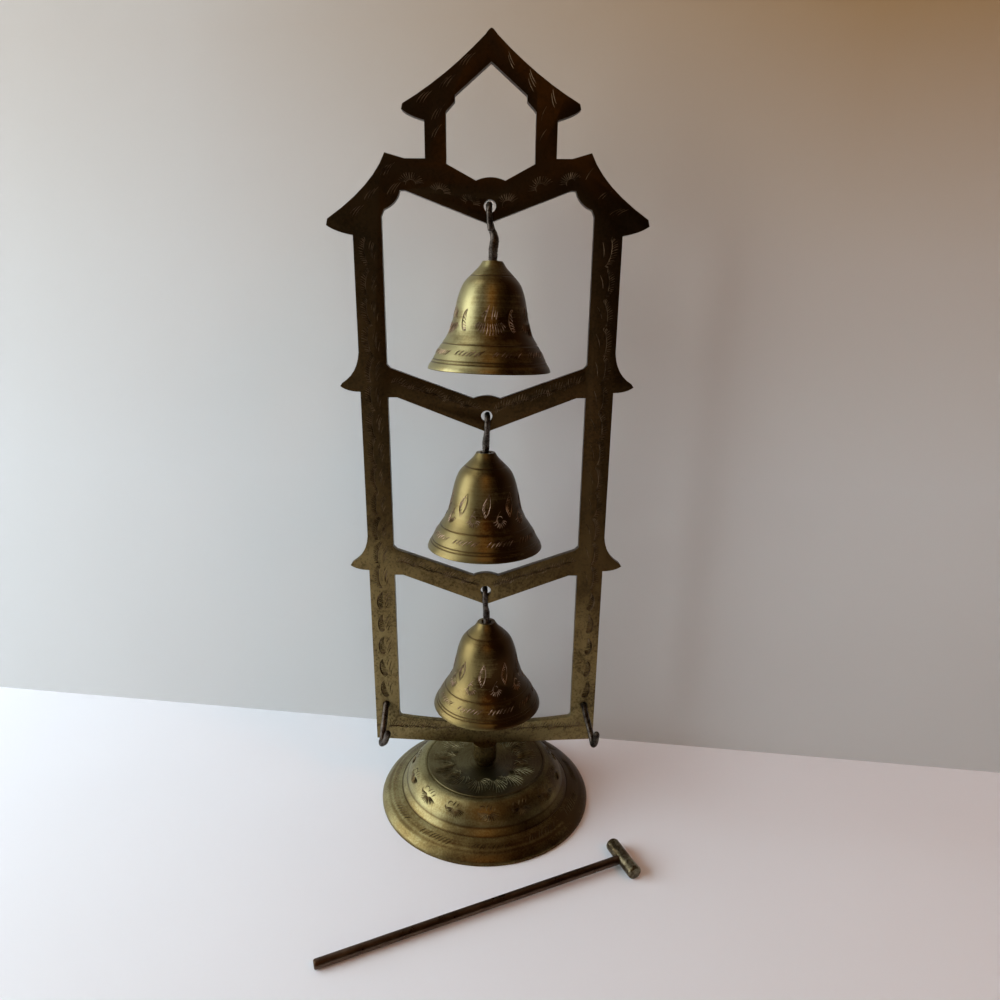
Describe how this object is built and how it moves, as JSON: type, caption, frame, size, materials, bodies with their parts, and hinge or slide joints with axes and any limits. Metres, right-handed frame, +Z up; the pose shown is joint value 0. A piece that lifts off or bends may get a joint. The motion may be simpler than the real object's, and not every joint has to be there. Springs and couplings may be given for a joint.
{
  "type": "bell tree",
  "caption": "Bells hung one above another in the windows of a flat pagoda-shaped frame on a round foot, with wire hooks for the loose mallet that lies in front.",
  "frame": {"origin": "on the floor, at the middle of the footprint of the stand and of the mallet that lies in front of it", "axes": "+Z up; the frame's plate faces -Y, towards the mallet; +X to the right seen from the front"},
  "size_m": [0.1294, 0.1515, 0.3265],
  "materials": {
    "foot_brass": "aged, satin, engraved",
    "frame_brass": "aged, darkened, engraved",
    "bell_brass": "turned, satin, engraved",
    "washer_brass": "plain",
    "dark_iron": "blackened, rough",
    "steel": "plain",
    "mallet_rod_steel": "browned",
    "mallet_head_steel": "browned, worn bright"
  },
  "bodies": {
    "stand": {"base": "foot_brass", "frame": "frame_brass", "foot_stud": "steel", "foot_washer": "steel", "foot_nut": "steel", "mallet_hook_left": "dark_iron", "mallet_hook_right": "dark_iron"},
    "hanger_bottom": {"hanger_bottom": "dark_iron", "nut_bottom": "dark_iron"},
    "washer_bottom": {"washer_bottom": "washer_brass"},
    "bell_bottom": {"bell_bottom": "bell_brass"},
    "hanger_middle": {"hanger_middle": "dark_iron", "nut_middle": "dark_iron"},
    "washer_middle": {"washer_middle": "washer_brass"},
    "bell_middle": {"bell_middle": "bell_brass"},
    "hanger_top": {"hanger_top": "dark_iron", "nut_top": "dark_iron"},
    "washer_top": {"washer_top": "washer_brass"},
    "bell_top": {"bell_top": "bell_brass"},
    "mallet": {"mallet_rod": "mallet_rod_steel", "mallet_head": "mallet_head_steel"}
  },
  "joints": [
    {"name": "bell_bottom_swing", "type": "hinge", "parent": "stand", "child": "hanger_bottom", "pos_m": [-0.00133, 0.02495, 0.1058], "axis": [0, 1, 0], "range_deg": [-8, 8]},
    {"name": "bell_bottom_swivel", "type": "hinge", "parent": "hanger_bottom", "child": "washer_bottom", "pos_m": [-0.00157, 0.02495, 0.0924], "axis": [-0.0105, 0, 0.9999], "continuous": true},
    {"name": "bell_bottom_rock", "type": "hinge", "parent": "washer_bottom", "child": "bell_bottom", "pos_m": [-0.00153, 0.02495, 0.08865], "axis": [1, 0, 0], "range_deg": [-5, 5]},
    {"name": "bell_middle_swing", "type": "hinge", "parent": "stand", "child": "hanger_middle", "pos_m": [-0.00243, 0.02495, 0.185], "axis": [0, 1, 0], "range_deg": [-8, 8]},
    {"name": "bell_middle_swivel", "type": "hinge", "parent": "hanger_middle", "child": "washer_middle", "pos_m": [-0.00227, 0.02495, 0.1719], "axis": [0.007, 0, 1], "continuous": true},
    {"name": "bell_middle_rock", "type": "hinge", "parent": "washer_middle", "child": "bell_middle", "pos_m": [-0.00229, 0.02495, 0.16815], "axis": [1, 0, 0], "range_deg": [-5, 5]},
    {"name": "bell_top_swing", "type": "hinge", "parent": "stand", "child": "hanger_top", "pos_m": [-0.00058, 0.02495, 0.2657], "axis": [0, 1, 0], "range_deg": [-8, 8]},
    {"name": "bell_top_swivel", "type": "hinge", "parent": "hanger_top", "child": "washer_top", "pos_m": [0.00013, 0.02495, 0.2483], "axis": [0.0297, 0, 0.9996], "continuous": true},
    {"name": "bell_top_rock", "type": "hinge", "parent": "washer_top", "child": "bell_top", "pos_m": [0.00002, 0.02495, 0.24455], "axis": [1, 0, 0], "range_deg": [-5, 5]},
    {"name": "mallet_lift", "type": "slide", "parent": "stand", "child": "mallet", "axis": [0, 0, 1], "range_m": [0, 0.25]}
  ]
}
